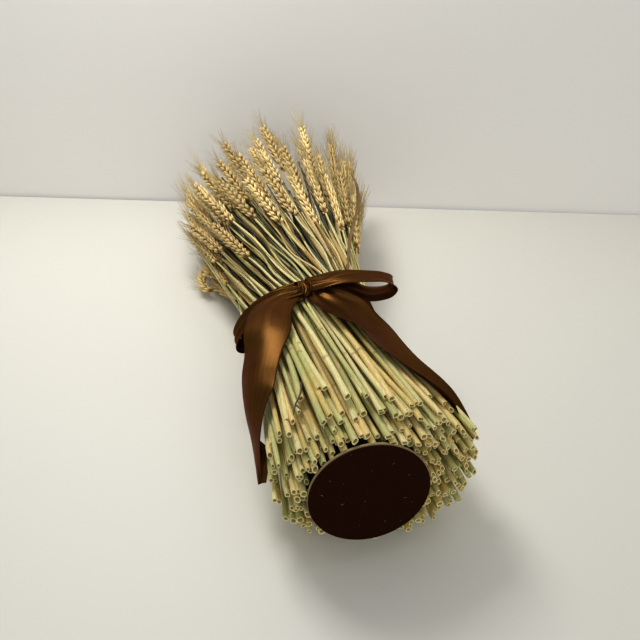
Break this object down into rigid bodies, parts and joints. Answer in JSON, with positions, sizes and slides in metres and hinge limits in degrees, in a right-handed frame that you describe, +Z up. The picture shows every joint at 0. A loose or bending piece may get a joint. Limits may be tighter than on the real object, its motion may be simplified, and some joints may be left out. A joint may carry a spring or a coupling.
{
  "type": "dried wheat sheaf",
  "caption": "Sheaf of dried bearded wheat lying on its side, tied at the waist with a satin ribbon, its cut straws flared round a felt-faced base disc.",
  "frame": {"origin": "middle of the sheaf's box, on the surface that it lies on", "axes": "+Y along the sheaf from the base disc to the ears, +Z up, +X to the right seen from the base disc"},
  "size_m": [0.195, 0.486, 0.1326],
  "materials": {
    "board": "plain pale board, matte, seen only at its rim",
    "felt": "very dark brown felt with a little pale lint",
    "inner_straw": "dry straw in shade, matte",
    "straw": "dried wheat stalks and ears, pale gold with a green cast, slightly silky",
    "binding": "flat natural-fibre tie",
    "satin": "chocolate brown satin with long soft highlights"
  },
  "bodies": {
    "root": {"base_board": "board", "base_felt": "felt", "inner_stems": "inner_straw", "bunch_01": "straw", "bunch_02": "straw", "bunch_03": "straw", "bunch_04": "straw", "bunch_05": "straw", "bunch_06": "straw", "bunch_07": "straw", "bunch_08": "straw", "bunch_09": "straw", "bunch_10": "straw", "bunch_11": "straw", "bunch_12": "straw", "bunch_13": "straw", "bunch_14": "straw", "bunch_15": "straw", "bunch_16": "straw", "bunch_17": "straw", "bunch_18": "straw", "bunch_19": "straw", "bunch_20": "straw", "bunch_21": "straw", "bunch_22": "straw", "bunch_23": "straw", "bunch_24": "straw", "binding_band": "binding", "satin_ribbon": "satin"}
  },
  "joints": []
}
